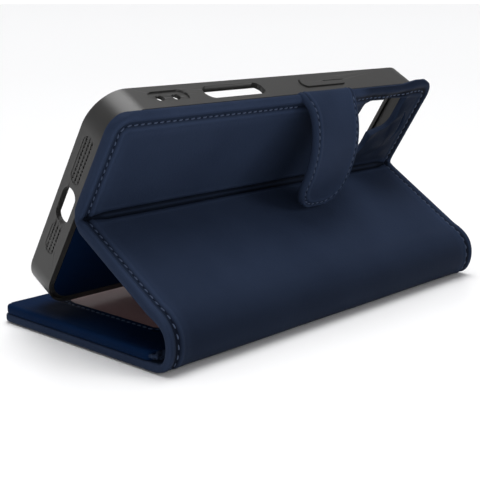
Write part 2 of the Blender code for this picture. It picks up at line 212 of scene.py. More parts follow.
def leather_material(name, dark, light, roughness, grain, gloss):
    """Pebbled leather: rounded cells, fine creases, and painted shade and highlight from a
    per-point attribute.
    """
    made, tree, shader = principled(name, light, roughness, Specular_IOR_Level=gloss,
                                    Specular_Tint=(0.35, 0.55, 1.0, 1))
    where = object_coordinates(tree)
    cells = add(tree, "ShaderNodeTexVoronoi", feature="SMOOTH_F1", Scale=1150.0, Smoothness=0.35)
    tree.links.new(where, cells.inputs["Vector"])
    fine = noise(tree, where, 2600.0, 2.0, 0.6)
    broad = noise(tree, where, 38.0, 3.0, 0.55)
    colour = ramp(tree, broad, [(0.3, dark), (0.7, light)])
    # painted shade and highlight: a per-point attribute scales the base colour darker or lighter
    depth = add(tree, "ShaderNodeAttribute", attribute_name="painted_shading")
    shading_scale = add(tree, "ShaderNodeMapRange")
    shading_scale.inputs["From Min"].default_value = -1.0
    shading_scale.inputs["To Min"].default_value = 0.12
    shading_scale.inputs["To Max"].default_value = 1.88
    tree.links.new(depth.outputs["Fac"], shading_scale.inputs["Value"])
    tinted = add(tree, "ShaderNodeVectorMath", operation="SCALE")
    tree.links.new(colour, tinted.inputs[0])
    tree.links.new(shading_scale.outputs["Result"], tinted.inputs["Scale"])
    tree.links.new(tinted.outputs["Vector"], shader.inputs["Base Color"])
    vary_roughness(tree, shader, noise(tree, where, 210.0, 4.0, 0.6), roughness - 0.05,
                   roughness + 0.07)
    bump_chain(tree, shader, [(broad, 0.25, 0.5 * MM),
                              (cells.outputs["Distance"], grain, 0.10 * MM),
                              (fine, grain * 0.6, 0.05 * MM)])
    return made


def rubber_material():
    made, tree, shader = principled("soft_touch_tpu", (0.030, 0.0295, 0.0285), 0.38,
                                    Specular_IOR_Level=0.42)
    where = object_coordinates(tree)
    tone = ramp(tree, noise(tree, where, 25.0), [(0.3, (0.025, 0.0245, 0.0237)),
                                                 (0.7, (0.031, 0.0305, 0.0296))])
    tree.links.new(tone, shader.inputs["Base Color"])
    vary_roughness(tree, shader, noise(tree, where, 90.0, 4.0), 0.33, 0.43)
    bump_chain(tree, shader, [(noise(tree, where, 3800.0, 2.0, 0.7), 0.12, 0.03 * MM)])
    return made


def thread_material():
    made, tree, shader = principled("waxed_thread", (0.045, 0.07, 0.125), 0.6,
                                    Specular_IOR_Level=0.2)
    where = object_coordinates(tree)
    twist = add(tree, "ShaderNodeTexWave", Scale=1400.0, Distortion=1.0)
    tree.links.new(where, twist.inputs["Vector"])
    colour = ramp(tree, twist.outputs["Fac"], [(0.2, (0.026, 0.040, 0.078)),
                                               (0.8, (0.050, 0.072, 0.125))])
    tree.links.new(colour, shader.inputs["Base Color"])
    bump_chain(tree, shader, [(twist.outputs["Fac"], 0.5, 0.06 * MM)])
    return made


def bumped_material(name, colour, roughness, bump, **sockets):
    """Plain stuff; bump is its noise settings, strength and distance."""
    made, tree, shader = principled(name, colour, roughness, **sockets)
    bump_chain(tree, shader, [(noise(tree, object_coordinates(tree), *bump[0]), *bump[1:])])
    return made


def mottled_material(name, colour, roughness, tone, stops, bump):
    """Bumped material whose colour varies too; tone is the noise settings for that."""
    made = bumped_material(name, colour, roughness, bump)
    tree = made.node_tree
    mottle = ramp(tree, noise(tree, object_coordinates(tree), *tone), stops)
    tree.links.new(mottle, tree.nodes["Principled BSDF"].inputs["Base Color"])
    return made


LEATHER = leather_material("navy_leather", (0.0160, 0.0240, 0.0465), (0.0195, 0.0290, 0.0550),
                           0.50, 0.36, 0.015)
LINING = leather_material("navy_lining", (0.0016, 0.0080, 0.0290), (0.0026, 0.0110, 0.0370),
                          0.58, 0.18, 0.02)
TPU = rubber_material()
THREAD = thread_material()
FILM = bumped_material("clear_window_film", (0.62, 0.40, 0.39), 0.22,
                       ((45.0, 2.0), 0.35, 0.6 * MM), Alpha=0.2, Coat_Weight=0.15)
BACKING = mottled_material("taupe_backing_cloth", (0.38, 0.21, 0.21), 0.5, (16.0, 2.0),
                           [(0.3, (0.34, 0.180, 0.182)), (0.7, (0.42, 0.235, 0.236))],
                           ((2400.0, 2.0), 0.3, 0.04 * MM))
BOARD = mottled_material("grey_board", (0.22, 0.21, 0.19), 0.9, (900.0,),
                         [(0.35, (0.18, 0.17, 0.155)), (0.65, (0.26, 0.25, 0.225))],
                         ((1500.0,), 0.4, 0.05 * MM))
STEEL = bumped_material("plated_steel", (0.50, 0.50, 0.52), 0.35, ((700.0, 4.0), 0.15, 0.03 * MM),
                        Metallic=1.0)

# ---- mesh helpers


def new_object(name, mesh, finish, smooth=35):
    made = bpy.data.objects.new(name, mesh)
    bpy.context.scene.collection.objects.link(made)
    mesh.materials.clear()
    mesh.materials.append(finish)
    mesh.shade_smooth()
    mesh.set_sharp_from_angle(angle=math.radians(smooth))
    return made


def grid_solid(name, loops, finish, smooth=50, painted_shading=None):
    """Closed body through equal loops of points, with a flat cap at each end.

    The last argument holds the painted shade (below 0) or painted highlight (above 0) on the
    leather at each point, from -1 to 1.
    """
    points = np.asarray(loops, float)
    rows, columns, _ = points.shape
    index = np.arange(rows * columns).reshape(rows, columns)
    here, there = index[:-1], index[1:]
    quads = np.stack([here, np.roll(here, -1, 1), np.roll(there, -1, 1), there], -1)
    faces = quads.reshape(-1, 4).tolist()
    for row in index[[0, -1]].tolist():
        a, d = 0, columns - 1
        while a + 1 < d:
            far = [row[d - 1]] if a + 1 < d - 1 else []
            faces.append([row[a], row[a + 1], *far, row[d]])
            a, d = a + 1, d - 1
    mesh = bpy.data.meshes.new(name)
    mesh.from_pydata(points.reshape(-1, 3).tolist(), [], faces)
    if painted_shading is not None:
        # painted shade and highlight, stored per point for the leather material
        shades = mesh.attributes.new("painted_shading", "FLOAT", "POINT")
        shades.data.foreach_set("value", np.asarray(painted_shading, np.float32).ravel())
    work = bmesh.new()
    work.from_mesh(mesh)
    bmesh.ops.recalc_face_normals(work, faces=work.faces)
    work.to_mesh(mesh)
    work.free()
    return new_object(name, mesh, finish, smooth)


def apply_modifiers(made):
    bpy.context.view_layer.update()
    evaluated = made.evaluated_get(bpy.context.evaluated_depsgraph_get())
    mesh = bpy.data.meshes.new_from_object(evaluated)
    made.modifiers.clear()
    made.data = mesh


def subtract(made, cutters):
    for cutter in cutters:
        boolean = made.modifiers.new("cut", "BOOLEAN")
        boolean.operation = "DIFFERENCE"
        boolean.object = cutter
    finish = made.data.materials[0]
    apply_modifiers(made)
    made.data.materials.clear()
    made.data.materials.append(finish)
    for cutter in cutters:
        bpy.data.objects.remove(cutter)


def filleted(corners, steps=12):
    """Closed outline through (x, y, radius) corners, each rounded by an arc."""
    points = []
    count = len(corners)
    for index, (x, y, radius) in enumerate(corners):
        here = Vector((x, y))
        before = (Vector(corners[index - 1][:2]) - here).normalized()
        after = (Vector(corners[(index + 1) % count][:2]) - here).normalized()
        if radius <= 0:
            points.append(here)
            continue
        half = before.angle(after) / 2
        centre = here + (before + after).normalized() * radius / math.sin(half)
        first = here + before * radius / math.tan(half) - centre
        last = here + after * radius / math.tan(half) - centre
        turn = first.angle_signed(last)
        for step in range(steps + 1):
            points.append(centre + Matrix.Rotation(-turn * step / steps, 2) @ first)
    return points


def box_outline(x0, x1, y0, y1, radius=0.0, steps=12):
    return filleted([(x0, y0, radius), (x1, y0, radius), (x1, y1, radius), (x0, y1, radius)],
                    steps)


def sheet_mesh(name, outlines, z0, z1):
    """Flat plate between two heights; outlines after the first are holes."""
    curve = bpy.data.curves.new(name, "CURVE")
    curve.dimensions = "2D"
    curve.fill_mode = "BOTH"
    curve.extrude = (z1 - z0) / 2
    for outline in outlines:
        spline = curve.splines.new("POLY")
        spline.points.add(len(outline) - 1)
        for point, corner in zip(spline.points, outline):
            point.co = (corner[0], corner[1], 0, 1)
        spline.use_cyclic_u = True
    holder = bpy.data.objects.new(name + "_curve", curve)
    bpy.context.scene.collection.objects.link(holder)
    bpy.context.view_layer.update()
    evaluated = holder.evaluated_get(bpy.context.evaluated_depsgraph_get())
    mesh = bpy.data.meshes.new_from_object(evaluated)
    bpy.data.objects.remove(holder)
    work = bmesh.new()
    work.from_mesh(mesh)
    bmesh.ops.remove_doubles(work, verts=work.verts, dist=1e-6)
    bmesh.ops.translate(work, verts=work.verts, vec=(0, 0, (z0 + z1) / 2))
    bmesh.ops.recalc_face_normals(work, faces=work.faces)
    work.to_mesh(mesh)
    work.free()
    return mesh


def bevel(made, width, segments=3, angle=50):
    modifier = made.modifiers.new("edge", "BEVEL")
    modifier.width = width
    modifier.segments = segments
    modifier.limit_method = "ANGLE"
    modifier.angle_limit = math.radians(angle)


def shell_sheet(name, outlines, z0, z1, turn=None, shift=(0, 0, 0)):
    """TPU plate in the shell's own frame, optionally turned and shifted within it."""
    mesh = sheet_mesh(name, outlines, z0, z1)
    if turn is not None:
        mesh.transform(turn)
    mesh.transform(Matrix.Translation(shift))
    mesh.transform(SHELL_MATRIX)
    return new_object(name, mesh, TPU)


# ---- the cover's side profile


def catmull(points, per_span):
    """Smooth curve through points."""
    route = []
    last = len(points) - 1
    for index in range(last):
        a, b, c, d = (points[max(0, min(last, index + k))] for k in (-1, 0, 1, 2))
        for step in range(per_span):
            t = step / per_span
            route.append(0.5 * (2 * b + (c - a) * t + (2 * a - 5 * b + 4 * c - d) * t ** 2
                                + (3 * b - a - 3 * c + d) * t ** 3))
    route.append(points[last])
    return route


def straight(start, end, step):
    count = max(1, round((end - start).length / step))
    return [start.lerp(end, k / count) for k in range(count)]


def bezier(a, b, c, d, steps):
    return [a * (1 - t) ** 3 + b * 3 * t * (1 - t) ** 2 + c * 3 * t ** 2 * (1 - t) + d * t ** 3
            for t in (k / steps for k in range(steps))]


def lower_outer(distance):
    """Point on the lower panel's outer face, measured from the shoulder."""
    return SHOULDER + ALONG * distance + LOWER_OUT * (PANEL / 2)


def cover_route():
    """Outer face of the whole cover from the top edge round to the flap's free edge."""
    round_off = 0.9 * MM
    top = on_shell(LEATHER_TOP, OUTER)
    above = CREASE + UP * round_off
    below = CREASE - ALONG * round_off
    spine_start = lower_outer(5.5 * MM)
    # the spine's curve, from the lower panel round to the flap's underside, in mm
    spine = [spine_start + ALONG * 4 * MM, spine_start]
    for y, z in ((-35.6, 17.7), (-38.3, 15.5), (-40.2, 12.5), (-40.95, 9.0), (-40.55, 5.3),
                 (-39.0, 2.2), (-36.4, 0.4), (-33.0, 0.0), (-28.0, 0.0)):
        spine.append(Vector((y, z)) * MM)
    route = straight(top, above, 0.6 * MM)
    route += bezier(above, above.lerp(CREASE, 0.6), below.lerp(CREASE, 0.6), below, 8)
    route += straight(below, spine[0], 0.6 * MM)
    route += catmull(spine, 9)[:-1]
    route += straight(spine[-1], Vector((FREE_EDGE, 0)), 0.8 * MM)
    route.append(Vector((FREE_EDGE, 0)))
    return route


def edge_profile(count, square=0.62):
    """Rounded edge from the top face to the bottom one, as (outward, height) shares.

    A square of 1 gives a half circle, and less gives a flatter edge with rounder corners.
    """
    turn = np.linspace(0, math.pi, count + 2)[1:-1]
    outward = np.sin(turn) ** square
    height = np.sign(np.cos(turn)) * np.abs(np.cos(turn)) ** square
    return outward, height


def closed_ring(x, reach, half, lift, shade, profile):
    """Section across the leather: worked face, edge, underside and the other edge.

    Gives how far across and how far up each point is, and its painted shade or highlight.
    """
    outward, height = profile
    plain = np.zeros(len(outward))
    across = np.concatenate([x, reach + half * outward, x[::-1], -reach - half * outward])
    up = np.concatenate([half + lift, half * height, np.full_like(x, -half), -half * height])
    return across, up, np.concatenate([shade, plain, np.zeros_like(x), plain])


def end_shrink(gap, rounding):
    """Share of the full thickness left at a distance from a rounded end."""
    if gap >= rounding:
        return 1.0
    return math.sqrt(max(0.02, 1 - (1 - gap / rounding) ** 2))


def eased(rounding, count):
    """Distances in from a rounded end, closer together towards it."""
    return [rounding * (1 - math.cos(k / count * math.pi / 2)) for k in range(count)]


def corner_gap(qx, qy, radius):
    """Distance in from a rounded outline; qx and qy are measured from the corner's centre."""
    outside = np.hypot(np.maximum(qx, 0), np.maximum(qy, 0))
    return -(outside + np.minimum(np.maximum(qx, qy), 0) - radius)


def corner_cut(radius, along):
    """How much a round corner narrows a side at a distance from its end."""
    short = np.clip(radius - along, 0, radius)
    return radius - np.sqrt(np.maximum(radius ** 2 - short ** 2, 0))


class Cover:
    """The cover's outer profile by arc length, with its normal and thickness."""

    def __init__(self):
        route = np.array([tuple(point) for point in cover_route()])
        steps = np.linalg.norm(np.diff(route, axis=0), axis=1)
        self.at = np.concatenate([[0], np.cumsum(steps)])
        self.route = route
        self.length = self.at[-1]
        tangent = np.gradient(route, self.at, axis=0)
        tangent /= np.linalg.norm(tangent, axis=1)[:, None]
        self.normal = np.stack([tangent[:, 1], -tangent[:, 0]], 1) * -1
        if self.normal[0] @ np.array(OUT) < 0:
            self.normal = -self.normal
        self.crease = self.nearest(CREASE)
        self.shoulder = self.nearest(SHOULDER + LOWER_OUT * PANEL / 2)
        self.bulge = self.nearest(BULGE + Vector((-1.4 * MM, 0)))
        self.foot = self.nearest(Vector((FOOT.x, 0)))

    def nearest(self, point):
        gaps = np.linalg.norm(self.route - np.array(tuple(point)), axis=1)
        return self.at[int(gaps.argmin())]

    def point(self, s):
        return np.stack([np.interp(s, self.at, self.route[:, k]) for k in (0, 1)], -1)

    def outward(self, s):
        normal = np.stack([np.interp(s, self.at, self.normal[:, k]) for k in (0, 1)], -1)
        return normal / np.linalg.norm(normal, axis=-1, keepdims=True)

    def thickness(self, s):
        """Panels are full thickness; the leather alone crosses the crease and the spine."""
        dip = 1.5 * MM * np.exp(-((s - self.crease) / (1.6 * MM)) ** 2)
        spine = 0.9 * MM * np.exp(-((s - self.bulge) / (9.0 * MM)) ** 4)
        return PANEL - dip - spine


COVER = Cover()


def rounded_gap(x, s):
    """Distance in from the cover's outline, with its round corners."""
    gaps = [corner_gap(np.abs(x) - (COVER_HALF - radius), radius - along, radius)
            for radius, along in ((PANEL_RADIUS, s), (FLAP_RADIUS, COVER.length - s))]
    return np.minimum(*gaps)


def half_width(s):
    """Half width of the cover at an arc length, narrowing round the corners."""
    return COVER_HALF - corner_cut(PANEL_RADIUS, s) - corner_cut(FLAP_RADIUS,
                                                                 COVER.length - s)


def gaussian(value, centre, width):
    return np.exp(-((value - centre) / width) ** 2)


def waves(x, y, seed, reach, count=7):
    """Soft random undulation between -1 and 1 with features about reach across."""
    chance = random.Random(seed)
    total = np.zeros_like(np.asarray(x, float) + np.asarray(y, float))
    for _ in range(count):
        turn = chance.uniform(0, math.tau)
        scale = math.tau / (reach * chance.uniform(0.7, 1.6))
        shift = chance.uniform(0, math.tau)
        total += np.sin((x * math.cos(turn) + y * math.sin(turn)) * scale + shift)
    return total / count


def edge_relief(gap):
    """Turned edge bead, stitching groove and the padded ridge inside it."""
    bead = 0.30 * MM * gaussian(gap, 1.4 * MM, 0.95 * MM)
    valley = -0.20 * MM * gaussian(gap, 3.0 * MM, 0.35 * MM)
    groove = -0.34 * MM * gaussian(gap, STITCH_INSET, 0.5 * MM)
    ridge = 0.30 * MM * gaussian(gap, 5.5 * MM, 0.62 * MM)
    shoulder = 0.12 * MM * gaussian(gap, 7.2 * MM, 1.6 * MM)
    return bead + valley + groove + ridge + shoulder


def window_gap(x, s):
    """Distance out from the middle of the camera area, roughly a rounded box."""
    half, radius = 9.5 * MM, 4.0 * MM
    return -corner_gap(np.abs(x - 53.0 * MM) - half,
                       np.abs(LEATHER_TOP - s - 57.5 * MM) - half, radius)


def crease_spread(x):
    """The crease's two grooves run together at the stitch lines."""
    return 0.9 * MM * np.clip((COVER_HALF - STITCH_INSET - np.abs(x)) / (7 * MM), 0.1, 1)


def cover_relief(x, s):
    """How far the outer face stands off its plain profile."""
    gap = rounded_gap(x, s)
    relief = edge_relief(gap)
    inside = np.clip(gap / (8 * MM), 0, 1)
    spread = crease_spread(x)
    away = s - COVER.crease
    for side in (-1, 1):
        relief = relief - 0.45 * MM * gaussian(away, side * spread, 0.36 * MM) * inside
        relief = relief + 0.14 * MM * gaussian(away, side * 2.4 * MM, 0.6 * MM) * inside
    hinge = s - (COVER.shoulder + 1.0 * MM)
    relief = relief - 0.18 * MM * gaussian(hinge, 0, 1.6 * MM) * inside
    relief = relief + 0.16 * MM * waves(x, s, 4, 42 * MM) * inside
    camera = window_gap(x, s)
    near = np.exp(-(np.maximum(camera, 0) / (5 * MM)) ** 2) * (s < COVER.crease - 4 * MM)
    relief = relief - 0.45 * MM * np.exp(-np.maximum(camera, 0) / (1.1 * MM)) * (
        s < COVER.crease - 3 * MM)
    folds = np.sin((x * 0.55 + s * 0.9) / (1.5 * MM) + 1.6 * waves(x, s, 8, 9 * MM))
    relief = relief + 0.28 * MM * folds * near * np.clip((COVER.crease - s) / (9 * MM), 0, 1)
    return relief * np.clip((COVER.foot - s) / (2 * MM), 0, 1)


def relief_shading(relief):
    """Painted shade and highlight that go with a relief: painted shade in grooves, painted
    highlight on ridges.
    """
    return np.clip(np.where(relief < 0, relief / (0.42 * MM), relief / (0.9 * MM)), -0.85, 0.4)


def cover_painted_shading(x, s):
    """Painted shade and highlight on the outer face: painted shade at the crease and spine,
    painted shade and highlight along the edge relief, and darker towards the camera end.
    """
    gap = rounded_gap(x, s)
    inside = np.clip(gap / (6 * MM), 0, 1)
    spread = crease_spread(x)
    away = s - COVER.crease
    # painted shade in the edge's stitching groove, painted highlight on its bead and ridge
    shade = relief_shading(edge_relief(gap))
    # painted shade along the crease's two grooves and across its middle
    for side in (-1, 1):
        shade = shade - 1.0 * gaussian(away, side * spread, 0.5 * MM) * inside
    shade = shade - 0.5 * gaussian(away, 0, 1.3 * MM) * inside
    # painted shade across the middle of the spine
    middle = (COVER.shoulder + COVER.foot) / 2
    shade = shade - 0.55 * gaussian(s, middle, 12.0 * MM)
    # darker towards the camera end
    far_end = np.clip((x - 34 * MM) / (6 * MM), 0, 1) * np.clip(
        (COVER.crease - 1 * MM - s) / (2 * MM), 0, 1)
    return np.clip(shade - 0.65 * far_end, -0.9, 0.5)


def corner_lift(x, s):
    """The free leather corner past the shell's end curls up a little."""
    along = np.clip((x - 60 * MM) / (10 * MM), 0, 1)
    return 1.5 * MM * along * along * (3 - 2 * along) * np.clip(1 - s / (14 * MM), 0, 1)


def fine_rows(low, high, step):
    """Arc lengths between two ends, closer together across the crease."""
    rows, here = [low], low
    while here < high - 0.3 * step:
        near = abs(here - COVER.crease) < CREASE_REACH
        here += 0.16 * MM if near else step
        rows.append(min(here, high))
    rows[-1] = high
    return rows


def spread_columns(count, power):
    """Numbers from -1 to 1, closer together near the ends."""
    even = np.linspace(-1, 1, count)
    return np.sign(even) * (1 - (1 - np.abs(even)) ** power)


def cover_piece(name, s0, s1, columns=250, step=0.5 * MM):
    """Closed leather body along a stretch of the cover, round at its free ends."""
    first, last = s0 <= 0, s1 >= COVER.length
    rows = fine_rows(END_ROUND if first else s0, COVER.length - END_ROUND if last else s1, step)
    if first:
        rows = eased(END_ROUND, 7) + rows
    if last:
        rows += [COVER.length - gap for gap in reversed(eased(END_ROUND, 7))]
    loops, shades = [], []
    profile = edge_profile(9)
    up = np.array(tuple(UP))
    for s in rows:
        half = float(COVER.thickness(s)) / 2
        shrink = end_shrink(min(s if first else 1, COVER.length - s if last else 1), END_ROUND)
        reach = float(half_width(s)) - half
        x = spread_columns(columns, 1.5) * reach
        at = np.full_like(x, s)
        # painted shade and highlight for each point of the section
        xs, hs, shade = closed_ring(x, reach, half * shrink, cover_relief(x, at) * shrink,
                                    cover_painted_shading(x, at), profile)
        centre = COVER.point(s) - COVER.outward(s) * half
        side = centre[None, :] + COVER.outward(s)[None, :] * hs[:, None]
        side = side + up[None, :] * corner_lift(xs, s)[:, None]
        loops.append(np.column_stack([xs, side]))
        shades.append(shade)
    return grid_solid(name, loops, LEATHER, painted_shading=shades)


# ---- stitching


def stitches(name, route, pitch=STITCH_PITCH, closed=False):
    """Row of separate thread stitches along (point, outward normal) pairs."""
    points = np.array([tuple(p) for p, _ in route])
    normals = np.array([tuple(n) for _, n in route])
    if closed:
        points = np.vstack([points, points[:1]])
        normals = np.vstack([normals, normals[:1]])
    at = np.concatenate([[0], np.cumsum(np.linalg.norm(np.diff(points, axis=0), axis=1))])
    count = max(1, int(at[-1] / pitch))
    work = bmesh.new()
    reach = 0.4 * MM

    def along(table, s):
        return Vector([np.interp(s, at, table[:, c]) for c in range(3)])

    for k in range(count):
        s = (k + 0.5) * at[-1] / count
        here = along(points, s)
        normal = along(normals, s).normalized()
        forward = along(points, min(s + reach, at[-1])) - along(points, max(s - reach, 0))
        forward.normalize()
        across = normal.cross(forward).normalized()
        normal = forward.cross(across)
        turn = Matrix((forward, across, normal)).transposed().to_4x4()
        place = Matrix.Translation(here) @ turn @ Matrix.Rotation(STITCH_SLANT, 4, "Z")
        made = bmesh.ops.create_uvsphere(work, u_segments=8, v_segments=6, radius=MM)
        bmesh.ops.scale(work, verts=made["verts"], vec=STITCH_SHAPE)
        bmesh.ops.transform(work, verts=made["verts"], matrix=place)
    mesh = bpy.data.meshes.new(name)
    work.to_mesh(mesh)
    work.free()
    return new_object(name, mesh, THREAD, 180)


def cover_spot(x, s):
    """Point and normal just above the cover's outer face."""
    relief = float(cover_relief(np.array([x]), np.array([s]))[0])
    normal = COVER.outward(s)
    point = COVER.point(s) + normal * (relief + THREAD_LIFT)
    point = point + np.array(tuple(UP)) * float(corner_lift(np.array([x]), s)[0])
    return Vector((x, *point)), Vector((0, *normal))


def seam_route(x0, x1, s0, s1):
    """Straight stitch route on the cover's outer face."""
    count = max(2, round(max(abs(x1 - x0), s1 - s0) / (0.8 * MM)))
    return [cover_spot(x, s) for x, s in zip(np.linspace(x0, x1, count),
                                             np.linspace(s0, s1, count))]


def edge_route(s0, s1, side):
    """Stretch of the stitch line along the left (-1) or right (1) edge."""
    x = side * (COVER_HALF - STITCH_INSET)
    return seam_route(x, x, s0, s1)


def corner_route(side, top):
    """Quarter turn of the stitch line round a corner, from the side to the end."""
    radius = PANEL_RADIUS if top else FLAP_RADIUS
    inner = radius - STITCH_INSET
    made = []
    for k in range(7):
        turn = k / 6 * math.pi / 2
        x = side * (COVER_HALF - radius + inner * math.cos(turn))
        along = radius - inner * math.sin(turn)
        made.append(cover_spot(x, along if top else COVER.length - along))
    return made


# ---- covers

JOIN_LOWER = COVER.shoulder - 5.0 * MM
JOIN_UPPER_BAND = (COVER.shoulder + COVER.bulge) / 2
JOIN_LOWER_BAND = (COVER.bulge + COVER.foot) / 2


def blend(made):
    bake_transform(made)


def camera_window():
    """Opening round the camera area, stepped at its lower right."""
    corners = [(39.5, 71.2, 5.0), (39.5, 43.6, 4.0), (51.0, 43.6, 3.5), (55.4, 48.4, 2.5),
               (55.4, 54.2, 0.8), (66.6, 57.0, 5.0), (66.6, 71.2, 1.2)]
    return filleted([(x * MM, y * MM, radius * MM) for x, y, radius in corners])


def crescent_slit():
    """Slim curved slit beside the camera window."""
    low, high = 50.6 * MM, 64.0 * MM
    middle, half = (low + high) / 2, (high - low) / 2
    rise = [low + (high - low) * step / 24 for step in range(25)]

    def bow(y, base, depth):
        return base + depth * (1 - ((y - middle) / half) ** 2)

    right = [(bow(y, 70.3 * MM, 3.1 * MM), y) for y in rise]
    left = [(bow(y, 70.0 * MM, 1.5 * MM), y) for y in reversed(rise)]
    return right + left


def make_cover():
    """The cover in four stretches, each with its seams."""
    down = (SHOULDER - BULGE).normalized()
    under = (BULGE - FOOT).normalized()
    back = cover_piece("back_cover_leather", 0, JOIN_LOWER)
    subtract(back, [shell_sheet("window_tool", [camera_window()], -3 * MM, 8 * MM),
                    shell_sheet("slit_tool", [crescent_slit()], -3 * MM, 8 * MM)])
    shoulder = cover_piece("shoulder_leather", JOIN_LOWER, JOIN_UPPER_BAND)
    spine = cover_piece("spine_leather", JOIN_UPPER_BAND, JOIN_LOWER_BAND)
    flap = cover_piece("flap_cover_leather", JOIN_LOWER_BAND, COVER.length)
    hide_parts("upper_outer_leather", "lower_outer_leather", "lower_lining")
    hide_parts("spine_upper_band")
    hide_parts("spine_lower_band")
    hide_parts("flap_outer_leather", "flap_lining")
    pieces = {"back": [back], "shoulder": [shoulder], "spine": [spine], "flap": [flap]}
    crease_gap, strap_gap = 1.2 * MM, STRAP_HALF + 1.5 * MM
    inner_x, flap_corner = COVER_HALF - PANEL_RADIUS, COVER.length - FLAP_RADIUS
    for side, tag in ((-1, "left"), (1, "right")):
        above = (edge_route(PANEL_RADIUS, COVER.crease - crease_gap, side)[::-1]
                 + corner_route(side, True)
                 + seam_route(side * inner_x, STRAP_X + side * strap_gap, STITCH_INSET,
                              STITCH_INSET))
        routes = {("back", "back"): above,
                  ("back", "lower"): edge_route(COVER.crease + crease_gap, JOIN_LOWER, side),
                  ("shoulder", "shoulder"): edge_route(JOIN_LOWER, JOIN_UPPER_BAND, side),
                  ("spine", "spine"): edge_route(JOIN_UPPER_BAND, JOIN_LOWER_BAND, side),
                  ("flap", "flap"): (edge_route(JOIN_LOWER_BAND, flap_corner, side)
                                     + corner_route(side, False))}
        for (group, name), route in routes.items():
            pieces[group].append(stitches(f"{name}_stitches_{tag}", route))
    folds = {"back": ("upper_panel", "lower_panel", CREASE + UP * FOLD, CREASE - ALONG * FOLD),
             "shoulder": ("lower_panel", "spine_upper", SHOULDER + ALONG * FOLD,
                          SHOULDER - down * FOLD),
             "spine": ("spine_upper", "spine_lower", BULGE + down * FOLD,
                       BULGE - under * FOLD),
             "flap": ("spine_lower", "flap", FOOT + under * FOLD, FOOT + Vector((FOLD, 0)))}
    for group, (body_a, body_b, start, end) in folds.items():
        for made in pieces[group]:
            blend(made)


make_cover()

# ---- phone shell

SIDE_TURN = Matrix.Rotation(math.pi / 2, 4, "X")
END_TURN = Matrix(((0, 0, 1, 0), (1, 0, 0, 0), (0, 1, 0, 0), (0, 0, 0, 1)))
CUT_REACH = 4.0 * MM


def obround(low, high, middle, width):
    """Slot outline from low to high, with ends just short of full half circles."""
    return box_outline(low, high, middle - width / 2, middle + width / 2, width / 2 * 0.999)


def wall_tool(name, x, length, width, top=True, lift=0.0):
    """Slot-shaped cutter through a long wall of the shell."""
    y = (SHELL_TOP if top else SHELL_BOTTOM) + lift
    return shell_sheet(name, [obround(-length / 2, length / 2, 0, width)], -CUT_REACH,
                       CUT_REACH, SIDE_TURN, (x, y, SIDE_CENTRE))


def end_tool(name, low, high, height, lift=0.0):
    """Slot-shaped cutter through the near end wall of the shell."""
    return shell_sheet(name, [obround(low, high, SIDE_CENTRE, height)], -CUT_REACH, CUT_REACH,
                       END_TURN, (-SHELL_HALF + lift, 0, 0))


def button_place(name):
    """Middle along x, and length, of a button's pad."""
    low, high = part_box(name + "_pad")
    return (low[0] + high[0]) / 2, high[0] - low[0]


def speaker_tool(name, centre, rows):
    """Block of round cutters, three columns wide."""
    work = bmesh.new()
    turn = Matrix.Rotation(math.pi / 2, 4, "Y")
    for column in (-1, 0, 1):
        for row in range(rows):
            y = centre + (row - (rows - 1) / 2) * SPEAKER_PITCH
            z = SIDE_CENTRE + column * SPEAKER_PITCH
            bmesh.ops.create_cone(work, cap_ends=True, segments=14, radius1=SPEAKER_HOLE / 2,
                                  radius2=SPEAKER_HOLE / 2, depth=8 * MM,
                                  matrix=Matrix.Translation((-SHELL_HALF, y, z)) @ turn)
    mesh = bpy.data.meshes.new(name)
    work.to_mesh(mesh)
    work.free()
    mesh.transform(SHELL_MATRIX)
    return new_object(name, mesh, TPU)


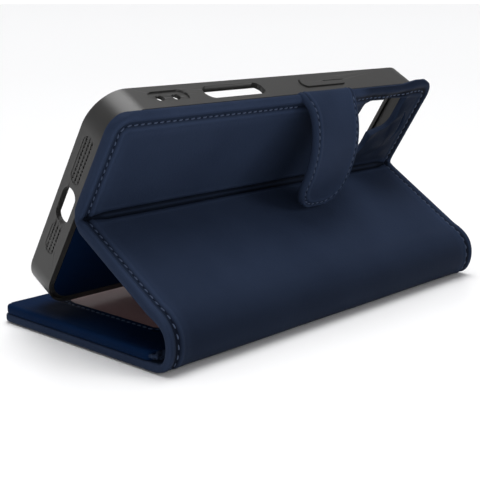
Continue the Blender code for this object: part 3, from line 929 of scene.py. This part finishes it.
def make_shell():
    """Open tray that holds the phone, with its lip, openings, speaker holes and recesses."""
    def inner(inset):
        return [box_outline(-SHELL_HALF + inset, SHELL_HALF - inset, SHELL_BOTTOM + inset,
                            SHELL_TOP - inset, SHELL_RADIUS - inset)]

    body = shell_sheet("phone_shell_body", [box_outline(-SHELL_HALF, SHELL_HALF, SHELL_BOTTOM,
                                                        SHELL_TOP, SHELL_RADIUS, 20)],
                       -SHELL_DEPTH, 0)
    bevel(body, 2.3 * MM, 8)
    apply_modifiers(body)
    cavity = shell_sheet("cavity_tool", inner(SHELL_WALL), -SHELL_DEPTH + LIP_DEPTH,
                         -SHELL_BACK)
    mouth = shell_sheet("mouth_tool", inner(SHELL_WALL + LIP_OVERHANG), -SHELL_DEPTH - 2 * MM,
                        -SHELL_DEPTH + LIP_DEPTH + 0.2 * MM)
    camera = shell_sheet("camera_tool", [box_outline(*CAMERA_CUT, 8 * MM)],
                         -SHELL_BACK - MM, MM)
    skin_bed = shell_sheet("skin_tool",
                           [box_outline(-SHELL_HALF + 2.2 * MM, SHELL_HALF - 2.2 * MM,
                                        SHELL_BOTTOM + 2.2 * MM, CREASE_HEIGHT - 0.5 * MM,
                                        6 * MM)], -0.75 * MM, MM)
    middle = (SHELL_TOP + SHELL_BOTTOM) / 2
    tools = [cavity, mouth, camera, skin_bed,
             end_tool("port_tool", middle - 6.4 * MM, middle + 6.4 * MM, 6.4 * MM),
             end_tool("upper_speaker_bed", 45.6 * MM, 62.6 * MM, 5.0 * MM, lift=-3.84 * MM),
             end_tool("lower_speaker_bed", 18.1 * MM, 29.5 * MM, 5.0 * MM, lift=-3.84 * MM),
             speaker_tool("upper_speaker_tool", *SPEAKERS[0]),
             speaker_tool("lower_speaker_tool", *SPEAKERS[1]),
             wall_tool("control_tool", -24.4 * MM, 27.4 * MM, 6.4 * MM),
             wall_tool("lanyard_bed", -53.2 * MM, 16 * MM, 5.4 * MM, lift=3.4 * MM),
             wall_tool("lanyard_hole_left", -56.5 * MM, 3.2 * MM, 2.8 * MM),
             wall_tool("lanyard_hole_right", -49.9 * MM, 3.2 * MM, 2.8 * MM)]
    for name in BUTTONS:
        centre, length = button_place(name)
        tools.append(wall_tool(name + "_tool", centre, length + 0.6 * MM,
                               BUTTON_WIDTH + 0.6 * MM, top=name == "power_button"))
    subtract(body, tools)
    bevel(body, 0.16 * MM, 2, 40)
    even = body.modifiers.new("even_shading", "WEIGHTED_NORMAL")
    even.keep_sharp = False
    even.weight = 100
    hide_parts("phone_shell")
    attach(body, "upper_panel")


def make_buttons():
    """Rounded pads over the four buttons."""
    for name in BUTTONS:
        centre, length = button_place(name)
        top = name == "power_button"
        turn = Matrix.Rotation(-math.pi / 2 if top else math.pi / 2, 4, "X")
        y = SHELL_TOP if top else SHELL_BOTTOM
        outline = obround(-length / 2, length / 2, 0, BUTTON_WIDTH)
        pad = shell_sheet(name + "_cover", [outline], -1.4 * MM, 0.55 * MM, turn,
                          (centre, y, SIDE_CENTRE))
        bevel(pad, 0.5 * MM, 4)
        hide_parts(name + "_pad")
        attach(pad, name)


make_shell()
make_buttons()

# ---- strap


def strap_route():
    """Middle of the strap in the shell's side view, from inside the panel to the tip."""
    start = [(69.5, 1.4), (73.3, 1.2)]
    knots = [Vector(point) * MM for point in start + STRAP_ROUTE]
    return [on_shell(point.x, point.y) for point in catmull(knots, 10)]


def make_strap():
    """Closing strap, wider at its root, with its seam running round the tip."""
    route = np.array([tuple(point) for point in strap_route()])
    at = np.concatenate([[0], np.cumsum(np.linalg.norm(np.diff(route, axis=0), axis=1))])
    length = at[-1]
    tangent = np.gradient(route, at, axis=0)
    tangent /= np.linalg.norm(tangent, axis=1)[:, None]
    normal = np.stack([tangent[:, 1], -tangent[:, 0]], 1)
    if normal[len(normal) // 2] @ np.array(tuple(OUT)) < 0:
        normal = -normal
    radius = STRAP_TIP_RADIUS
    half_thick = STRAP_THICK / 2

    def frame_at(s):
        centre = np.array([np.interp(s, at, route[:, k]) for k in (0, 1)])
        out = np.array([np.interp(s, at, normal[:, k]) for k in (0, 1)])
        return centre, out / np.linalg.norm(out)

    def half_at(s):
        remaining = length - s
        if remaining >= radius:
            return STRAP_HALF + 2.2 * MM * math.exp(-((s - 6 * MM) / (4.5 * MM)) ** 2)
        return STRAP_HALF - radius + math.sqrt(max(0, radius ** 2 - (radius - remaining) ** 2))

    def relief(x, s):
        gap = corner_gap(np.abs(x) - (half_at(min(s, length - radius)) - radius),
                         radius - (length - s), radius)
        bead = 0.14 * MM * gaussian(gap, 0.9 * MM, 0.5 * MM)
        groove = -0.24 * MM * gaussian(gap, STRAP_INSET, 0.42 * MM)
        ridge = 0.16 * MM * gaussian(gap, STRAP_INSET + 1.2 * MM, 0.6 * MM)
        soft = 0.12 * MM * waves(x, s, 21, 24 * MM)
        return bead + groove + ridge + soft

    loops, shades = [], []
    profile = edge_profile(7, 1.0)
    rows = list(np.linspace(0, length - END_ROUND, 120))
    for s in rows + [length - gap for gap in reversed(eased(END_ROUND, 8))]:
        centre, out = frame_at(s)
        shrink = end_shrink(length - s, END_ROUND)
        reach = half_at(s) - half_thick
        x = spread_columns(84, 1.6) * reach
        lift = relief(x, s)
        # painted shade in the strap's seam groove and painted highlight on its bead and ridge
        xs, hs, shade = closed_ring(x, reach, half_thick * shrink, lift * shrink, relief_shading(lift),
                                    profile)
        side = centre[None, :] + out[None, :] * hs[:, None]
        loops.append(np.column_stack([xs + STRAP_X, side]))
        shades.append(shade)
    strap = grid_solid("closing_strap_leather", loops, LEATHER, painted_shading=shades)

    def spot(x, s):
        centre, out = frame_at(s)
        lift = half_thick + float(relief(np.array([x]), s)[0]) + THREAD_LIFT
        return Vector((x + STRAP_X, *(centre + out * lift))), Vector((0, *out))

    turn_radius, flat = radius - STRAP_INSET, STRAP_HALF - radius
    seam_start, tip_start = 9 * MM, length - radius
    line = [spot(STRAP_INSET - half_at(s), s) for s in np.linspace(seam_start, tip_start, 50)]
    for side, shares in ((-1, range(1, 10)), (1, range(9, 0, -1))):
        for k in shares:
            turn = k / 10 * math.pi / 2
            line.append(spot(side * (flat + turn_radius * math.cos(turn)),
                             tip_start + turn_radius * math.sin(turn)))
    line += [spot(half_at(s) - STRAP_INSET, s) for s in np.linspace(tip_start, seam_start, 50)]
    seam = stitches("strap_stitches", line, STRAP_PITCH)
    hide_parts("strap_outer", "strap_lining")
    for made in (strap, seam):
        blend(made)


make_strap()

# ---- card flap


def plate_relief_piece(name, outline_box, radius, z0, z1, finish, relief, hole=None,
                       columns=150, rows=80):
    """Soft plate with rounded edges, lifted by a relief; hole is an outline cut from it."""
    x0, x1, y0, y1 = outline_box
    half = (z1 - z0) / 2
    middle = (z0 + z1) / 2
    cx, cy = (x0 + x1) / 2, (y0 + y1) / 2
    hx, hy = (x1 - x0) / 2, (y1 - y0) / 2
    ends = eased(half, 6)
    along = (ends + list(np.linspace(half, 2 * hy - half, rows))
             + [2 * hy - gap for gap in reversed(ends)])
    profile = edge_profile(7)
    loops, shades = [], []
    for s in along:
        end_gap = min(s, 2 * hy - s)
        shrink = end_shrink(end_gap, half)
        reach = hx - float(corner_cut(radius, end_gap)) - half
        x = spread_columns(columns, 1.3) * reach
        y = cy - hy + s
        gap = corner_gap(np.abs(x) - (hx - radius), np.abs(y - cy) - (hy - radius), radius)
        lift = relief(x + cx, np.full_like(x, y), gap) * shrink
        # painted shade in the plate's grooves and painted highlight on its ridges
        xs, zs, shade = closed_ring(x, reach, half * shrink, lift, relief_shading(lift), profile)
        loops.append(np.column_stack([xs + cx, np.full_like(xs, y), middle + zs]))
        shades.append(shade)
    made = grid_solid(name, loops, finish, painted_shading=shades)
    if hole:
        tool = new_object(name + "_tool", sheet_mesh(name + "_tool", [hole], z0 - 2 * MM,
                                                     z1 + 2 * MM), finish)
        subtract(made, [tool])
    return made


def window_outline(box, spread):
    """ID window with its far -X corner cut round, grown by spread."""
    x0, x1, y0, y1 = box
    x0, x1, y0, y1 = x0 - spread, x1 + spread, y0 - spread, y1 + spread
    small, large = 3.0 * MM + spread, 10.0 * MM + spread
    return filleted([(x0, y0, small), (x1, y0, small), (x1, y1, small), (x0, y1, large)])


def outline_route(outline, z):
    """Stitch route round a closed outline on a level face."""
    points = []
    for index, point in enumerate(outline):
        following = outline[(index + 1) % len(outline)]
        count = max(1, round((following - point).length / (0.9 * MM)))
        points += [point.lerp(following, k / count) for k in range(count)]
    return [(Vector((p.x, p.y, z)), Vector((0, 0, 1))) for p in points]


def on_flap(made, node):
    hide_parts(node)
    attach(made, "flap")


def make_gusset(x0, y0, z0, z1):
    """Crumpled end of the lining, gathered between the card module and the spine."""
    loops = []
    outward, height = edge_profile(5)
    for t in np.linspace(0, 1, 60):
        centre_y = y0 - 2.6 * MM + 4.4 * MM * t
        half = 0.6 * MM * (0.25 + 0.75 * math.sin(math.pi * min(max(t, 0.04), 0.96)))
        u = np.linspace(0, 1, 90)
        x = x0 + (0.2 + 0.5 * math.sin(9 * t) ** 2) * MM + u * 26 * MM
        fade = np.exp(-u * 2.4)
        crumple = (0.55 * np.sin(u * 34 + 5 * t) + 0.35 * np.sin(u * 61 - 9 * t + 1.3)
                   + 0.4 * np.sin(7 * t + u * 13))
        z = z0 + (z1 - z0) * (0.28 + 0.42 * t) + 0.75 * MM * crumple * (0.35 + 0.65 * fade)
        y = centre_y + 0.5 * MM * np.sin(u * 27 + 4 * t) * fade
        ring_y = np.concatenate([y, y[-1:].repeat(5), y[::-1], y[:1].repeat(5)])
        ring_x = np.concatenate([x, x[-1] + half * outward, x[::-1], x[0] - half * outward])
        ring_z = np.concatenate([z + half, z[-1] + half * height, z[::-1] - half,
                                 z[0] - half * height])
        loops.append(np.column_stack([ring_x, ring_y, ring_z]))
    gusset = grid_solid("gathered_lining", loops, LEATHER)
    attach(gusset, "flap")


def make_flap():
    """Card module on the flap: pocket, two card slots, window frame and closed edge."""
    low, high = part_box("id_window_film")
    window = low[0], high[0], low[1], high[1]
    rim = 0.3 * MM
    opening = window_outline(window, rim)
    binding_low, binding_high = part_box("flap_module_binding")

    def soft(x, y, gap):
        return 0.10 * MM * waves(x, y, 31, 34 * MM) * np.clip(gap / (6 * MM), 0, 1)

    def panel_relief(x, y, gap):
        return (0.10 * MM * gaussian(gap, 1.0 * MM, 0.7 * MM)
                - 0.14 * MM * gaussian(gap, 1.3 * MM, 0.5 * MM)
                + 0.10 * MM * gaussian(gap, 2.7 * MM, 0.7 * MM) + soft(x, y, gap))

    def frame_relief(x, y, gap):
        qx = np.maximum(window[0] - rim - x, x - window[1] - rim)
        qy = np.maximum(window[2] - rim - y, y - window[3] - rim)
        off = np.maximum(qx, qy)
        lip = (0.10 * MM * gaussian(off, 0.5 * MM, 0.5 * MM)
               - 0.20 * MM * gaussian(off, 1.7 * MM, 0.45 * MM)
               + 0.10 * MM * gaussian(off, 2.9 * MM, 0.7 * MM))
        return soft(x, y, gap) + lip

    def binding_relief(x, y, gap):
        inward = np.clip((x - binding_low[0] - 2.6 * MM) / (0.7 * MM), 0, 1)
        return 0.05 * MM * waves(x, y, 12, 9 * MM) - 0.7 * MM * inward

    levels = ("cash_pocket_panel", "card_slot_rear", "card_slot_front", "id_window_frame")
    for index, node in enumerate(levels):
        low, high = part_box(node)
        extent = (binding_high[0] - 1.4 * MM, high[0], low[1], high[1])
        relief, hole = (frame_relief, opening) if index == 3 else (panel_relief, None)
        made = plate_relief_piece(node + "_leather", extent, 1.5 * MM, low[2], high[2], LINING,
                                  relief, hole)
        on_flap(made, node)
    x0, y0, y1 = binding_low[0], binding_low[1], binding_high[1]
    binding = plate_relief_piece("module_binding_leather",
                                 (x0 - 0.45 * MM, x0 + 7 * MM, y0, y1 + 0.3 * MM),
                                 FLAP_RADIUS, binding_low[2] - 0.42 * MM,
                                 binding_high[2] + 0.1 * MM, LINING, binding_relief,
                                 columns=60)
    on_flap(binding, "flap_module_binding")
    make_gusset(x0, y0, binding_low[2], binding_high[2])
    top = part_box("id_window_frame")[1][2] - 0.1 * MM
    around = window_outline(window, rim + 1.7 * MM)
    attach(stitches("window_stitches", outline_route(around, top), closed=True), "flap")


make_flap()

# ---- carried CAD pieces

FINISHES = {"id_window_film": FILM, "id_card_backing": BACKING, "flap_board": BOARD,
            "lower_board": BOARD, "upper_board": BOARD, "strap_core": BOARD,
            "flap_keeper_plate": STEEL, "strap_magnet": STEEL, "strap_tail": LEATHER,
            "upper_glue_pad": BOARD, "shell_back_skin": LINING}
for node, finish in FINISHES.items():
    for material_slot in frame["nodes"][node].material_slots:
        material_slot.material = finish

# ---- studio


def make_stage():
    """White floor, and a world that is bright at the horizon and dimmer overhead."""
    bpy.ops.mesh.primitive_plane_add(size=60.0, location=(0, 0, -0.0003))
    floor = bpy.context.object
    floor.name = "studio_floor"
    made, _, _ = principled("studio_white", (0.93, 0.93, 0.935), 0.28, Specular_IOR_Level=0.3)
    floor.data.materials.append(made)
    world = bpy.data.worlds.new("studio_light")
    bpy.context.scene.world = world
    world.use_nodes = True
    tree = world.node_tree
    height = add(tree, "ShaderNodeSeparateXYZ")
    tree.links.new(add(tree, "ShaderNodeTexCoord").outputs["Generated"], height.inputs["Vector"])
    glow = ramp(tree, height.outputs["Z"], [(0.0, (1, 1, 1)), (0.015, (1, 1, 1)),
                                            (0.10, (0.42, 0.42, 0.425)),
                                            (0.6, (0.22, 0.22, 0.225))])
    tree.links.new(glow, tree.nodes["Background"].inputs["Color"])
    tree.nodes["Background"].inputs["Strength"].default_value = 1.12


def light(name, kind, place, power, **settings):
    """Lamp at a place, turned towards the object."""
    data = bpy.data.lights.new(name, kind)
    data.energy = power
    for key, value in settings.items():
        setattr(data, key, value)
    lamp = bpy.data.objects.new(name, data)
    bpy.context.scene.collection.objects.link(lamp)
    lamp.location = place
    toward = Vector((0, 0, 0.03)) - Vector(place)
    lamp.rotation_euler = toward.to_track_quat("-Z", "Y").to_euler()


def make_camera():
    azimuth, elevation, distance = math.radians(-46.73), math.radians(12.89), 0.42394
    target = Vector((0.02823, 0.034, 0.01044))
    back = Vector((math.sin(azimuth) * math.cos(elevation),
                   -math.cos(azimuth) * math.cos(elevation), math.sin(elevation)))
    data = bpy.data.cameras.new("camera")
    data.sensor_width = 36.0
    data.lens = 79.3
    data.clip_start, data.clip_end = 0.01, 20
    camera = bpy.data.objects.new("camera", data)
    bpy.context.scene.collection.objects.link(camera)
    camera.location = target + back * distance
    camera.rotation_euler = (-back).to_track_quat("-Z", "Y").to_euler()
    bpy.context.scene.camera = camera


make_stage()
light("top_light", "SUN", (0.12, 0.12, 1.0), 3.0, angle=math.radians(50))
light("key_light", "SUN", (0.50, -0.75, 0.42), 0.8, angle=math.radians(24))
light("fill_light", "AREA", (-0.9, -0.35, 0.12), 2.2, shape="RECTANGLE", size=0.6, size_y=0.5)
make_camera()
bpy.context.scene.view_settings.view_transform = "Standard"

bpy.context.view_layer.update()
